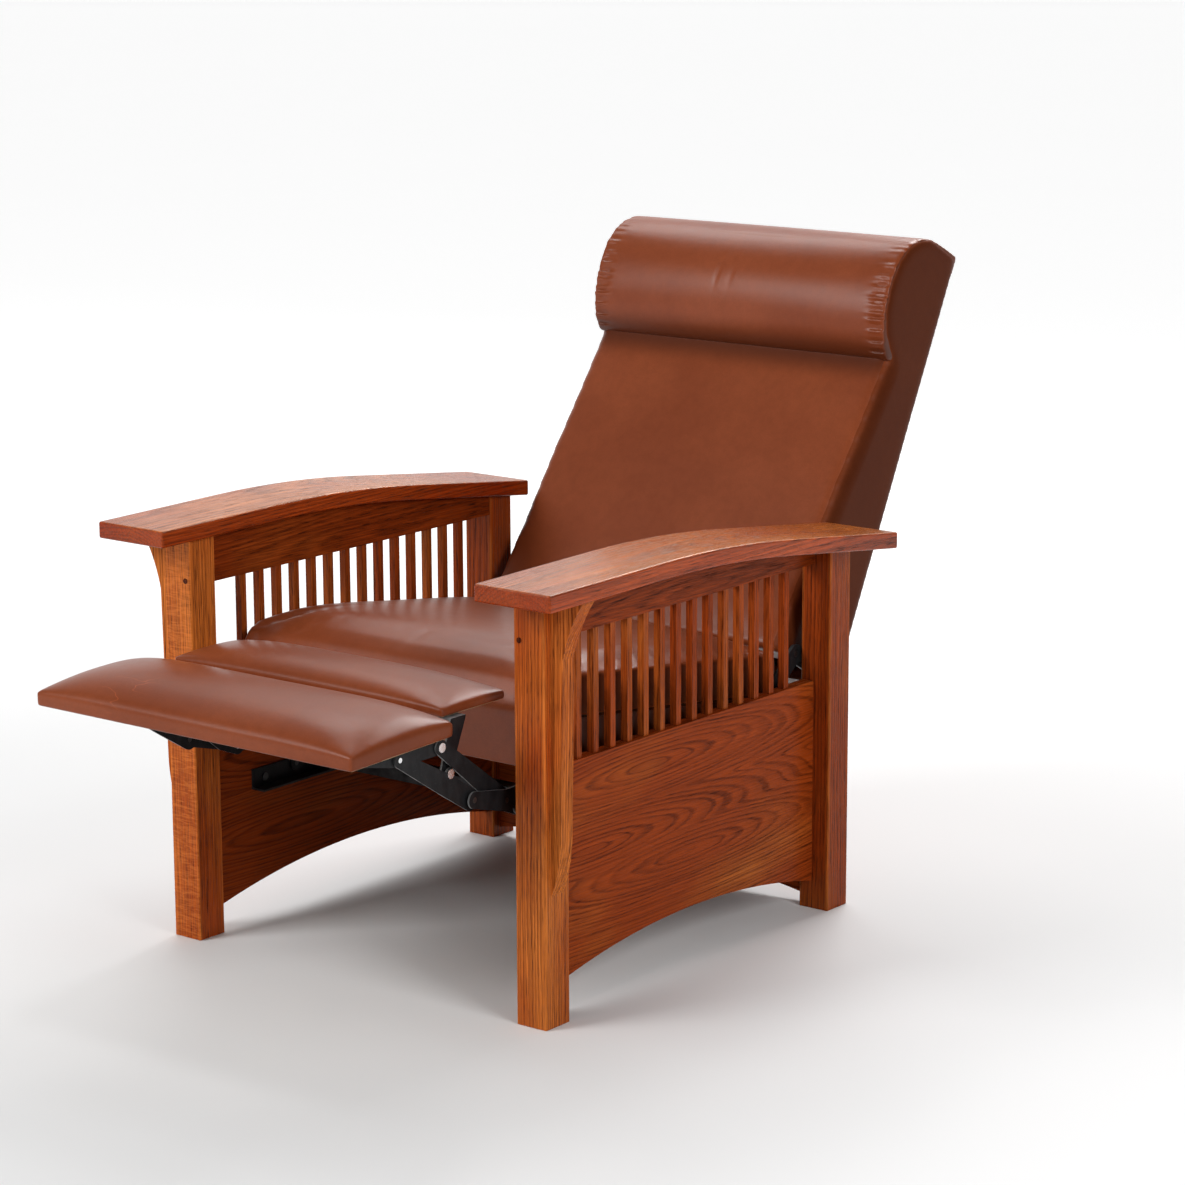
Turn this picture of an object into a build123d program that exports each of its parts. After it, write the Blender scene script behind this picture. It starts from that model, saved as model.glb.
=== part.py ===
from build123d import *
import os
from math import atan2, cos, degrees, hypot, radians, sin, tan

os.makedirs("parts", exist_ok=True)

# The chair faces -Y. Left and right are as seen from in front of it, so right is +X.
# The origin is on the floor, in the middle of the box that the open chair fills.
# All lengths are millimetres and all angles degrees.
hands = ((-1, "left"), (1, "right"))
overrun = 20.0

# Wooden sides
mid_y = -40.0
leg_size = 50.8
side_width = 691.0
side_depth = 715.0
edge_ease = 1.5

# Arms: level in front, bent once, and straight again to the rear
arm_thickness = 24.0
arm_front_height = 590.0
arm_front_overhang = 65.0
arm_rear_overhang = 28.5
arm_outer_overhang = 63.0
arm_inner_overhang = 13.0
arm_bend_back = 392.0
arm_bend_rise = 4.5
arm_rear_drop = 51.5
arm_bend_radius = 2200.0
arm_edge_round = 3.0

# Rails, panels and spindles between the legs
rail_thickness = 19.0
rail_inset = 3.0
upper_rail_drop = 68.0
panel_height = 347.0
panel_arch_end_height = 42.0
panel_arch_height = 78.0
rear_panel_height = 285.0
rear_arch_end_height = 14.0
rear_arch_height = 40.0
spindle_size = 11.0
spindle_pitch = 37.3
spindle_count = 14

# Corbels under the arms, and the pegs in the front legs
corbel_thickness = 25.0
corbel_reach = 56.0
corbel_neck_reach = 21.0
corbel_neck_drop = 82.0
corbel_foot_reach = 16.0
corbel_foot_height = 262.0
corbel_tip_height = 184.0
corbel_curve_share = 0.36
corbel_foot_curve_share = 0.72
peg_radius = 4.0
peg_proud = 0.6
peg_drop = 60.0
peg_edge_distance = 9.5

# Steel links lie in flat layers, one beside the next
steel = 3.0
layer_gap = 0.5
pin_radius = 4.0
pin_clearance = 0.05
head_radius = 6.5
head_height = 1.8

# Seat box, tilted down to the rear
seat_front = 268.0
seat_rear = 258.0
seat_bottom_height = 330.0
seat_tilt = 7.6
seat_rail_height = 70.0
seat_rail_thickness = 18.0
spring_count = 5
spring_swing = 21.0
spring_bends = 14
spring_wire = 3.6
cushion_side_clearance = 1.7
cushion_thickness = 68.0
cushion_front_overhang = 3.0
cushion_front_curve = 36.0
cushion_side_curve = 22.0
band_thickness = 3.0

# Base rails and the swing links that carry the seat
base_rail_height = 30.0
base_rail_bottom = 200.0
base_rail_shelf = 22.0
base_rail_reach = 240.0
tube_size = 25.0
tube_wall = 2.0
front_tube_y = -70.0
rear_tube_y = 200.0
swing_length = 70.0
swing_base_height = 222.0
front_swing_y = -150.0
rear_swing_y = 170.0
swing_radius = 11.0
plate_radius = 14.0
plate_step = 60.0
screw_radius = 3.0
screw_head_radius = 6.0
screw_head_height = 2.4
screw_length = 14.0
screw_positions_share = (-0.9, -0.1, 0.35, 0.94)

# Back, leaning on a pivot behind the seat
back_pivot_y = 300.0
back_pivot_height = 385.0
back_angle = 27.3
back_pivot_below_cushion = 7.0
back_pivot_ahead = 148.0
back_side_clearance = 16.7
back_length = 675.0
back_border = 10.0
back_cover = 3.0
back_bottom_depth = 185.0
back_crown_depth = 153.0
back_crown_share = 0.52
notch_below_top = 206.0
notch_depth = 107.0
roll_apex_below_top = 105.0
roll_apex_depth = 150.0
roll_under_share = 0.45
roll_under_depth_share = 0.62
roll_top_depth = 80.0
roll_shoulder_below_top = 33.0
roll_shoulder_depth = 130.0
frame_wood = 24.0
frame_post_width = 45.0
frame_rail_width = 50.0
frame_top_gap = 30.0
bottom_rail_height = 28.0
bottom_rail_depth = 55.0
bottom_rail_set_in = 5.0
strap_width = 50.0
strap_thickness = 1.6
strap_count = 6
strap_first_below_top = 150.0
strap_last_above_bottom = 55.0
arm_plate_radius = 13.0
hinge_pin_radius = 5.0

# Footrest links, in the open position, measured from the plate's front pivot
plate_pivot_setback = 60.0
plate_pivot_drop = 16.0
link_plate_radius = 22.0
rear_pivot_back, rear_pivot_down = 30.0, 19.0
upper_pivot_ahead, upper_pivot_down = 131.0, 12.0
lower_pivot_ahead, lower_pivot_up = 198.0, 3.0
rear_joint_ahead, rear_joint_down = 101.0, 28.0
lower_bend_ahead, lower_bend_up = 248.0, 34.0
middle_pivot_ahead, middle_pivot_up = 239.0, 47.0
footrest_rear_ahead, footrest_rear_up = 256.0, 86.0
footrest_front_ahead, footrest_front_up = 337.0, 86.0
torque_back, torque_up = 40.0, 10.0
torque_tube_radius = 8.0
link_radius = 15.0
slim_link_radius = 11.5
rear_link_radius = 10.5
middle_lug_radius = 8.0
link_end_radius = 10.5
open_pin_radius = 3.5
open_pin_slack = 2.5
footrest_front = 666.0
footrest_rear = 468.0
footrest_pivot_drop = 12.5
footrest_tilt = 1.6
footrest_side_clearance = 9.7
footrest_thickness = 46.0
footrest_edge_height = 21.0
footrest_board_thickness = 12.0
footrest_board_inset = 7.0
bracket_flange = 15.0
bracket_front = 640.0
bracket_rear = 486.0
middle_front = 445.0
middle_rear = 313.0
middle_pivot_drop = 71.0
middle_side_clearance = 4.2
middle_thickness = 38.0
middle_edge_height = 18.0
middle_board_thickness = 10.0
middle_bracket_front = 436.0
middle_bracket_rear = 406.0
middle_flange = 24.0

# Places that several pieces share
outer_x = side_width / 2
leg_inner_x = outer_x - leg_size
front_y = mid_y - side_depth / 2
rear_y = mid_y + side_depth / 2
rail_x = leg_inner_x + rail_inset
upper_rail_height = arm_front_height - upper_rail_drop
peg_height = arm_front_height - peg_drop
swing_x = leg_inner_x - layer_gap - steel
seat_plate_x = swing_x - layer_gap - steel
seat_half_width = seat_plate_x
seat_inner_x = seat_half_width - seat_rail_thickness
link_plate_x = seat_inner_x - steel
layer_x = [link_plate_x - (n + 1) * (steel + layer_gap) for n in range(5)]
front_layer, rear_layer, outer_layer, bracket_layer, middle_layer = layer_x
arm_back_layer = seat_plate_x - layer_gap - steel
cushion_half_width = seat_half_width - cushion_side_clearance
back_pivot_below_top = back_length + back_pivot_below_cushion
strap_run = back_length - strap_first_below_top - strap_last_above_bottom - strap_width
strap_pitch = strap_run / (strap_count - 1)
back_half_width = leg_inner_x - back_side_clearance
footrest_half_width = leg_inner_x - footrest_side_clearance
middle_half_width = middle_layer - middle_side_clearance
spring_pitch = 2 * seat_inner_x / (spring_count + 1)
base_screw_height = base_rail_bottom + base_rail_height / 2
base_screw_points = [(mid_y + share * base_rail_reach, base_screw_height) for share in screw_positions_share]


def at(y, z):
    """A point of the side view, from the middle of the wooden sides."""
    return (mid_y + y, z)


def layer(hand, inner, thickness=0):
    """The side-view plane on the low-X face of a layer this far out from the middle."""
    return Plane.YZ.offset(inner if hand > 0 else -inner - thickness)


def save(builder, label):
    """Label a finished piece and write it."""
    builder.part.label = label
    export_step(builder.part, f"parts/{label}.step")


def shifted(point, dy, dz):
    return (point[0] + dy, point[1] + dz)


def seat_height(y, above=0.0):
    """Height of the seat box's bottom edge at a distance from the middle, or of a line above it."""
    return seat_bottom_height - tan(radians(seat_tilt)) * (y + seat_front) + above


def round_bars(hand, inner, bars, holes, thickness=steel):
    """Flat bars, each the hull of its (centre, radius) ends, with (centre, radius) holes."""
    with BuildSketch(layer(hand, inner, thickness)) as outline:
        for ends in bars:
            discs = [Circle(radius, mode=Mode.PRIVATE).moved(Location((*centre, 0))) for centre, radius in ends]
            make_hull([rim for disc in discs for rim in disc.edges()])
        for centre, radius in holes:
            with Locations(centre):
                Circle(radius, mode=Mode.SUBTRACT)
    extrude(outline.sketch, amount=thickness)


def pin(hand, centre, inner, outer, radius=pin_radius, inner_head=0.0, outer_head=0.0):
    """A rivet along X from inner to outer, with a low head on either end where there is room."""
    with BuildSketch(layer(hand, inner, outer - inner)) as shank:
        with Locations(centre):
            Circle(radius)
    extrude(shank.sketch, amount=outer - inner)
    for head, start in ((inner_head, inner - head_height), (outer_head, outer)):
        if head:
            with BuildSketch(layer(hand, start, head_height)) as disc:
                with Locations(centre):
                    Circle(head)
            extrude(disc.sketch, amount=head_height)


# The arm's edge in side view, which legs and rails are cut to
arm_front_point = (front_y - arm_front_overhang, arm_front_height)
arm_bend_point = shifted(arm_front_point, arm_bend_back, arm_bend_rise)
arm_rear_point = (rear_y + arm_rear_overhang, arm_bend_point[1] - arm_rear_drop)
with BuildSketch() as arm_outline:
    with BuildLine():
        FilletPolyline(arm_front_point, arm_bend_point, arm_rear_point, radius=arm_bend_radius)
        FilletPolyline(
            *[shifted(p, 0, arm_thickness) for p in (arm_front_point, arm_bend_point, arm_rear_point)],
            radius=arm_bend_radius,
        )
        Line(arm_front_point, shifted(arm_front_point, 0, arm_thickness))
        Line(arm_rear_point, shifted(arm_rear_point, 0, arm_thickness))
    make_face()
with BuildSketch() as above_arm_underside:
    with BuildLine():
        FilletPolyline(arm_front_point, arm_bend_point, arm_rear_point, radius=arm_bend_radius)
        Polyline(
            arm_front_point,
            shifted(arm_front_point, 0, arm_rear_drop + overrun),
            shifted(arm_rear_point, 0, arm_rear_drop + overrun),
            arm_rear_point,
        )
    make_face()

for hand, name in hands:
    with BuildPart() as arm:
        arm_width = arm_outer_overhang + leg_size + arm_inner_overhang
        with BuildSketch(layer(hand, leg_inner_x - arm_inner_overhang, arm_width)):
            add(arm_outline.sketch)
        extrude(amount=arm_width)
        fillet(arm.edges(), arm_edge_round)
    save(arm, f"arm_{name}")

    for end, y in (("front", front_y), ("back", rear_y - leg_size)):
        with BuildPart() as leg:
            with BuildSketch(layer(hand, leg_inner_x, leg_size)):
                with BuildLine():
                    Polyline(
                        (y, 0), (y + leg_size, 0),
                        (y + leg_size, arm_front_height + overrun), (y, arm_front_height + overrun),
                        close=True,
                    )
                make_face()
                add(above_arm_underside.sketch, mode=Mode.SUBTRACT)
            extrude(amount=leg_size)
            chamfer(leg.edges().filter_by(Axis.Z), edge_ease)
        save(leg, f"{end}_leg_{name}")

    with BuildPart() as upper_rail:
        with BuildSketch(layer(hand, rail_x, rail_thickness)):
            with BuildLine():
                Polyline(
                    (front_y + leg_size, upper_rail_height), (rear_y - leg_size, upper_rail_height),
                    (rear_y - leg_size, arm_front_height + overrun),
                    (front_y + leg_size, arm_front_height + overrun),
                    close=True,
                )
            make_face()
            add(above_arm_underside.sketch, mode=Mode.SUBTRACT)
        extrude(amount=rail_thickness)
    save(upper_rail, f"upper_rail_{name}")

    with BuildPart() as side_panel:
        with BuildSketch(layer(hand, rail_x, rail_thickness)):
            with BuildLine():
                Polyline(
                    (front_y + leg_size, panel_arch_end_height), (front_y + leg_size, panel_height),
                    (rear_y - leg_size, panel_height), (rear_y - leg_size, panel_arch_end_height),
                )
                ThreePointArc(
                    (rear_y - leg_size, panel_arch_end_height), (mid_y, panel_arch_height),
                    (front_y + leg_size, panel_arch_end_height),
                )
            make_face()
        extrude(amount=rail_thickness)
        with BuildSketch(layer(hand, rail_x, screw_length - rail_inset)):
            with Locations(*base_screw_points):
                Circle(screw_radius)
        extrude(amount=screw_length - rail_inset, mode=Mode.SUBTRACT)
    save(side_panel, f"side_panel_{name}")

    with BuildPart() as spindles:
        spindle_height = upper_rail_height - panel_height
        row = Location((hand * (rail_x + rail_thickness / 2), mid_y, panel_height + spindle_height / 2))
        with Locations(row):
            with GridLocations(spindle_pitch, spindle_pitch, 1, spindle_count):
                Box(spindle_size, spindle_size, spindle_height)
    save(spindles, f"spindles_{name}")

    # The corbel's outer edge sweeps in from the arm, runs down the leg and dies into it
    with BuildPart() as corbel:
        corbel_top = arm_front_height + arm_bend_rise * (arm_front_overhang / arm_bend_back)
        neck_height = corbel_top - corbel_neck_drop
        with BuildSketch(Plane.XZ.offset(-(front_y + leg_size / 2 + corbel_thickness / 2))):
            with BuildLine():
                Line((outer_x, corbel_tip_height), (outer_x, corbel_top))
                Line((outer_x, corbel_top), (outer_x + corbel_reach, corbel_top))
                ThreePointArc(
                    (outer_x + corbel_reach, corbel_top),
                    (
                        outer_x + corbel_neck_reach
                        + corbel_curve_share * (corbel_reach - corbel_neck_reach),
                        corbel_top - corbel_neck_drop / 2,
                    ),
                    (outer_x + corbel_neck_reach, neck_height),
                )
                Line((outer_x + corbel_neck_reach, neck_height), (outer_x + corbel_foot_reach, corbel_foot_height))
                ThreePointArc(
                    (outer_x + corbel_foot_reach, corbel_foot_height),
                    (
                        outer_x + corbel_foot_reach * corbel_foot_curve_share,
                        (corbel_foot_height + corbel_tip_height) / 2,
                    ),
                    (outer_x, corbel_tip_height),
                )
            make_face()
            if hand < 0:
                mirror(about=Plane.YZ, mode=Mode.REPLACE)
        extrude(amount=corbel_thickness)
    save(corbel, f"corbel_{name}")

with BuildPart() as rear_panel:
    with BuildSketch(Plane.XZ.offset(-(rear_y - leg_size / 2 + rail_thickness / 2))):
        with BuildLine():
            Polyline(
                (-leg_inner_x, rear_arch_end_height), (-leg_inner_x, rear_panel_height),
                (leg_inner_x, rear_panel_height), (leg_inner_x, rear_arch_end_height),
            )
            ThreePointArc(
                (leg_inner_x, rear_arch_end_height), (0, rear_arch_height), (-leg_inner_x, rear_arch_end_height)
            )
        make_face()
    extrude(amount=rail_thickness)
save(rear_panel, "rear_panel")

# Pegs stand a little proud of the front legs, over a face that is theirs alone
with BuildPart() as leg_pegs:
    with BuildSketch(Plane.XZ.offset(-front_y)):
        for hand, name in hands:
            with Locations((hand * (leg_inner_x + peg_edge_distance), peg_height)):
                Circle(peg_radius)
    extrude(amount=peg_proud)
save(leg_pegs, "leg_pegs")

# Base: an angle rail on each side panel, joined across by two square tubes
base_high = base_rail_bottom + base_rail_height
for hand, name in hands:
    with BuildPart() as base_rail:
        with BuildSketch(layer(hand, leg_inner_x, rail_inset)):
            with BuildLine():
                Polyline(
                    at(-base_rail_reach, base_rail_bottom), at(base_rail_reach, base_rail_bottom),
                    at(base_rail_reach, base_high), at(-base_rail_reach, base_high), close=True,
                )
            make_face()
            with Locations(at(front_swing_y, swing_base_height), at(rear_swing_y, swing_base_height)):
                Circle(pin_radius, mode=Mode.SUBTRACT)
            with Locations(*base_screw_points):
                Circle(screw_radius, mode=Mode.SUBTRACT)
        extrude(amount=rail_inset)
        with BuildSketch(layer(hand, leg_inner_x - base_rail_shelf, base_rail_shelf)):
            with BuildLine():
                Polyline(
                    at(-base_rail_reach, base_rail_bottom), at(base_rail_reach, base_rail_bottom),
                    at(base_rail_reach, base_rail_bottom + steel),
                    at(-base_rail_reach, base_rail_bottom + steel), close=True,
                )
            make_face()
        extrude(amount=base_rail_shelf)
    save(base_rail, f"base_rail_{name}")

with BuildPart() as base_tubes:
    tube_half_length = leg_inner_x - layer_gap
    with BuildSketch(Plane.YZ.offset(-tube_half_length)):
        for tube_y in (front_tube_y, rear_tube_y):
            with Locations(at(tube_y, base_rail_bottom + steel + tube_size / 2)):
                Rectangle(tube_size, tube_size)
                Rectangle(tube_size - 2 * tube_wall, tube_size - 2 * tube_wall, mode=Mode.SUBTRACT)
    extrude(amount=2 * tube_half_length)
save(base_tubes, "base_tubes")

with BuildPart() as base_screws:
    for hand, name in hands:
        with BuildSketch(layer(hand, leg_inner_x, screw_length)):
            with Locations(*base_screw_points):
                Circle(screw_radius)
        extrude(amount=screw_length)
        with BuildSketch(layer(hand, leg_inner_x - screw_head_height, screw_head_height)):
            with Locations(*base_screw_points):
                Circle(screw_head_radius)
        extrude(amount=screw_head_height)
save(base_screws, "base_screws")

# Swing links: two equal pairs, so the seat stays level as it moves
swing_front_base = at(front_swing_y, swing_base_height)
swing_rear_base = at(rear_swing_y, swing_base_height)
swing_front_top = shifted(swing_front_base, 0, swing_length)
swing_rear_top = shifted(swing_rear_base, 0, swing_length)
for end, low, high in (
    ("front", swing_front_base, swing_front_top),
    ("rear", swing_rear_base, swing_rear_top),
):
    with BuildPart() as swing_links:
        for hand, name in hands:
            ends = [(low, swing_radius), (high, swing_radius)]
            round_bars(hand, swing_x, [ends], [(p, pin_radius + pin_clearance) for p in (low, high)])
    save(swing_links, f"swing_links_{end}")

with BuildPart() as base_pins:
    for hand, name in hands:
        for centre in (swing_front_base, swing_rear_base):
            pin(hand, centre, swing_x, rail_x)
save(base_pins, "base_pins")

# Seat box
for hand, name in hands:
    with BuildPart() as seat_side_rail:
        with BuildSketch(layer(hand, seat_inner_x, seat_rail_thickness)):
            with BuildLine():
                Polyline(
                    at(-seat_front, seat_height(-seat_front)), at(seat_rear, seat_height(seat_rear)),
                    at(seat_rear, seat_height(seat_rear, seat_rail_height)),
                    at(-seat_front, seat_height(-seat_front, seat_rail_height)), close=True,
                )
            make_face()
        extrude(amount=seat_rail_thickness)
    save(seat_side_rail, f"seat_side_rail_{name}")

seat_cross_rails = []
for end, rail_front in (("front", -seat_front), ("rear", seat_rear - seat_rail_thickness)):
    with BuildPart() as seat_cross_rail:
        rail_back = rail_front + seat_rail_thickness
        with BuildSketch(Plane.YZ.offset(-seat_inner_x)):
            with BuildLine():
                Polyline(
                    at(rail_front, seat_height(rail_front)), at(rail_back, seat_height(rail_back)),
                    at(rail_back, seat_height(rail_back, seat_rail_height)),
                    at(rail_front, seat_height(rail_front, seat_rail_height)), close=True,
                )
            make_face()
        extrude(amount=2 * seat_inner_x)
    seat_cross_rails.append(seat_cross_rail.part)
    save(seat_cross_rail, f"seat_{end}_rail")

# Sinuous springs, held between the front and rear rails just under the cushion
spring_start = -seat_front + seat_rail_thickness
spring_run = (seat_rear + seat_front - 2 * seat_rail_thickness) / cos(radians(seat_tilt))
spring_origin = at(spring_start, seat_height(spring_start, seat_rail_height))
spring_plane = Plane(
    origin=(0, spring_origin[0], spring_origin[1]),
    x_dir=(0, cos(radians(seat_tilt)), -sin(radians(seat_tilt))),
    z_dir=(0, sin(radians(seat_tilt)), cos(radians(seat_tilt))),
)
with BuildPart() as seat_springs:
    step = spring_run / spring_bends
    with BuildSketch(spring_plane):
        for n in range(spring_count):
            offset_x = (n - (spring_count - 1) / 2) * spring_pitch
            corners = [(-spring_wire, offset_x)]
            for bend in range(spring_bends):
                swing = spring_swing if bend % 2 else -spring_swing
                corners.append((bend * step + step / 4, offset_x + swing))
                corners.append(((bend + 1) * step - step / 4, offset_x + swing))
            corners.append((spring_run + spring_wire, offset_x))
            with BuildLine(mode=Mode.PRIVATE) as wire:
                Polyline(*corners)
            trace(wire.line, line_width=spring_wire)
    extrude(amount=-spring_wire)
    for cross_rail in seat_cross_rails:
        add(cross_rail, mode=Mode.SUBTRACT)
save(seat_springs, "seat_springs")

with BuildPart() as seat_band:
    with BuildSketch(Plane.YZ.offset(-seat_half_width)):
        with BuildLine():
            Polyline(
                at(-seat_front - band_thickness, seat_height(-seat_front)),
                at(-seat_front, seat_height(-seat_front)),
                at(-seat_front, seat_height(-seat_front, seat_rail_height)),
                at(-seat_front - band_thickness, seat_height(-seat_front, seat_rail_height)), close=True,
            )
        make_face()
    extrude(amount=2 * seat_half_width)
save(seat_band, "seat_band")

# The cushion rolls over at the front and stops short of the back's path
with BuildPart() as seat_cushion:
    cushion_front = -seat_front - cushion_front_overhang
    cushion_bottom = seat_height(cushion_front, seat_rail_height)
    cushion_top = cushion_bottom + cushion_thickness
    with BuildSketch(Plane.YZ.offset(-cushion_half_width)):
        with BuildLine():
            Polyline(
                at(cushion_front, cushion_bottom), at(cushion_front, cushion_top),
                at(seat_rear, seat_height(seat_rear, seat_rail_height + cushion_thickness)),
                at(seat_rear, seat_height(seat_rear, seat_rail_height)), close=True,
            )
        make_face()
    extrude(amount=2 * cushion_half_width)
    fillet(seat_cushion.edges().filter_by(Axis.X).group_by(Axis.Y)[0].sort_by(Axis.Z)[-1], cushion_front_curve)
    side_edges = seat_cushion.edges().group_by(Axis.X)
    fillet(side_edges[0].sort_by(Axis.Z)[-3:] + side_edges[-1].sort_by(Axis.Z)[-3:], cushion_side_curve)
save(seat_cushion, "seat_cushion")

# Seat plates hang on the swing links and carry the back's pivot
back_pivot = at(back_pivot_y, back_pivot_height)
for hand, name in hands:
    with BuildPart() as seat_plate:
        round_bars(
            hand, seat_plate_x,
            [
                [(swing_front_top, plate_radius), (swing_rear_top, plate_radius)],
                [(swing_rear_top, plate_radius), (back_pivot, plate_radius)],
            ],
            [
                (swing_front_top, pin_radius), (swing_rear_top, pin_radius), (back_pivot, hinge_pin_radius),
            ],
        )
    save(seat_plate, f"seat_plate_{name}")

# Link plates carry the footrest's two fixed pivots inside the seat box
front_pivot = at(-seat_front + plate_pivot_setback, seat_bottom_height - plate_pivot_drop)
rear_pivot = shifted(front_pivot, rear_pivot_back, -rear_pivot_down)
upper_pivot = shifted(front_pivot, -upper_pivot_ahead, -upper_pivot_down)
lower_pivot = shifted(front_pivot, -lower_pivot_ahead, lower_pivot_up)
rear_joint = shifted(front_pivot, -rear_joint_ahead, -rear_joint_down)
lower_bend = shifted(front_pivot, -lower_bend_ahead, lower_bend_up)
middle_pivot = shifted(front_pivot, -middle_pivot_ahead, middle_pivot_up)
footrest_rear_pivot = shifted(front_pivot, -footrest_rear_ahead, footrest_rear_up)
footrest_front_pivot = shifted(front_pivot, -footrest_front_ahead, footrest_front_up)
torque_point = shifted(front_pivot, torque_back, torque_up)
footrest_bottom_height = footrest_front_pivot[1] + footrest_pivot_drop
middle_bottom_height = middle_pivot[1] + middle_pivot_drop
for hand, name in hands:
    with BuildPart() as link_plate:
        high_front = shifted(front_pivot, 0, plate_step)
        high_rear = shifted(rear_pivot, plate_step, plate_step)
        round_bars(
            hand, link_plate_x,
            [
                [(front_pivot, link_plate_radius), (rear_pivot, link_plate_radius),
                 (high_rear, plate_radius), (high_front, plate_radius)],
            ],
            [
                (front_pivot, pin_radius), (rear_pivot, pin_radius),
                (high_front, screw_radius), (high_rear, screw_radius),
            ],
        )
    save(link_plate, f"link_plate_{name}")

with BuildPart() as seat_pins:
    for hand, name in hands:
        for centre in (swing_front_top, swing_rear_top):
            pin(hand, centre, seat_plate_x, swing_x + steel)
        pin(hand, back_pivot, arm_back_layer, seat_plate_x + steel, hinge_pin_radius, inner_head=head_radius)
        pin(hand, front_pivot, front_layer, seat_inner_x)
        pin(hand, rear_pivot, rear_layer, seat_inner_x)
        for centre in (shifted(front_pivot, 0, plate_step), shifted(rear_pivot, plate_step, plate_step)):
            pin(hand, centre, link_plate_x, seat_inner_x, screw_radius, inner_head=screw_head_radius)
save(seat_pins, "seat_pins")

# Footrest links
running = pin_radius + pin_clearance
with BuildPart() as front_links:
    for hand, name in hands:
        round_bars(
            hand, front_layer,
            [
                [(front_pivot, slim_link_radius), (upper_pivot, link_radius)],
                [(upper_pivot, link_radius), (lower_pivot, slim_link_radius)],
                [(front_pivot, slim_link_radius), (torque_point, slim_link_radius)],
            ],
            [(front_pivot, running), (upper_pivot, pin_radius), (lower_pivot, pin_radius)],
        )
save(front_links, "front_links")

with BuildPart() as rear_links:
    for hand, name in hands:
        round_bars(
            hand, rear_layer,
            [[(rear_pivot, rear_link_radius), (rear_joint, rear_link_radius)]],
            [(rear_pivot, running), (rear_joint, open_pin_radius + open_pin_slack)],
        )
save(rear_links, "rear_links")

with BuildPart() as upper_links:
    for hand, name in hands:
        round_bars(
            hand, outer_layer,
            [
                [(rear_joint, slim_link_radius), (upper_pivot, link_radius)],
                [(upper_pivot, link_radius), (footrest_rear_pivot, link_end_radius)],
            ],
            [
                (rear_joint, open_pin_radius), (upper_pivot, running), (footrest_rear_pivot, pin_radius),
            ],
        )
save(upper_links, "upper_links")

with BuildPart() as lower_links:
    for hand, name in hands:
        round_bars(
            hand, outer_layer,
            [
                [(lower_pivot, link_radius), (lower_bend, link_radius)],
                [(lower_bend, link_radius), (footrest_front_pivot, link_end_radius)],
                [(lower_bend, middle_lug_radius), (middle_pivot, middle_lug_radius)],
            ],
            [
                (lower_pivot, running), (middle_pivot, pin_radius), (footrest_front_pivot, open_pin_radius),
            ],
        )
save(lower_links, "lower_links")

with BuildPart() as torque_tube:
    with BuildSketch(Plane.YZ.offset(-front_layer)):
        with Locations(torque_point):
            Circle(torque_tube_radius)
            Circle(torque_tube_radius - tube_wall, mode=Mode.SUBTRACT)
    extrude(amount=2 * front_layer)
save(torque_tube, "torque_tube")

with BuildPart() as front_link_pins:
    for hand, name in hands:
        pin(hand, upper_pivot, outer_layer, front_layer + steel)
        pin(hand, lower_pivot, outer_layer, front_layer + steel)
save(front_link_pins, "front_link_pins")

with BuildPart() as upper_link_pins:
    for hand, name in hands:
        pin(hand, rear_joint, outer_layer, rear_layer + steel, open_pin_radius)
        pin(hand, footrest_rear_pivot, bracket_layer, outer_layer + steel, outer_head=head_radius)
save(upper_link_pins, "upper_link_pins")

with BuildPart() as lower_link_pins:
    for hand, name in hands:
        pin(hand, middle_pivot, middle_layer, outer_layer + steel, outer_head=head_radius)
        pin(hand, footrest_front_pivot, outer_layer, outer_layer + steel, open_pin_radius)
save(lower_link_pins, "lower_link_pins")

# Footrest, in its own plane: local x runs to the rear along the board's underside
footrest_slope = (0, cos(radians(footrest_tilt)), sin(radians(footrest_tilt)))
footrest_length = (footrest_front - footrest_rear) / cos(radians(footrest_tilt))
footrest_origin = at(-footrest_front, footrest_bottom_height)


def footrest_plane(offset):
    """The footrest's side view at an X place, with its origin at the lower front edge."""
    return Plane(
        origin=(offset, footrest_origin[0], footrest_origin[1]), x_dir=footrest_slope, z_dir=(1, 0, 0)
    )


def crowned(plane, length, edge_height, height, half_width, board_inset, board_height):
    """A pad with a crowned top over a board that is let into its underside."""
    with BuildSketch(plane) as section:
        with BuildLine():
            Polyline((0, edge_height), (0, 0), (length, 0), (length, edge_height))
            ThreePointArc((length, edge_height), (length / 2, height), (0, edge_height))
        make_face()
        with BuildLine():
            Polyline(
                (board_inset, 0), (length - board_inset, 0), (length - board_inset, board_height),
                (board_inset, board_height), close=True,
            )
        make_face(mode=Mode.SUBTRACT)
    extrude(section.sketch, amount=2 * half_width)


with BuildPart() as footrest_pad:
    crowned(
        footrest_plane(-footrest_half_width), footrest_length, footrest_edge_height,
        footrest_thickness, footrest_half_width, footrest_board_inset, footrest_board_thickness,
    )
save(footrest_pad, "footrest_pad")

with BuildPart() as footrest_board:
    with BuildSketch(footrest_plane(-footrest_half_width + footrest_board_inset)):
        with BuildLine():
            Polyline(
                (footrest_board_inset, 0), (footrest_length - footrest_board_inset, 0),
                (footrest_length - footrest_board_inset, footrest_board_thickness),
                (footrest_board_inset, footrest_board_thickness), close=True,
            )
        make_face()
    extrude(amount=2 * (footrest_half_width - footrest_board_inset))
save(footrest_board, "footrest_board")

middle_length = middle_front - middle_rear
middle_origin = at(-middle_front, middle_bottom_height)
with BuildPart() as middle_pad:
    crowned(
        Plane(origin=(-middle_half_width, *middle_origin), x_dir=(0, 1, 0), z_dir=(1, 0, 0)),
        middle_length, middle_edge_height, middle_thickness,
        middle_half_width, footrest_board_inset, middle_board_thickness,
    )
save(middle_pad, "middle_pad")

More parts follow.
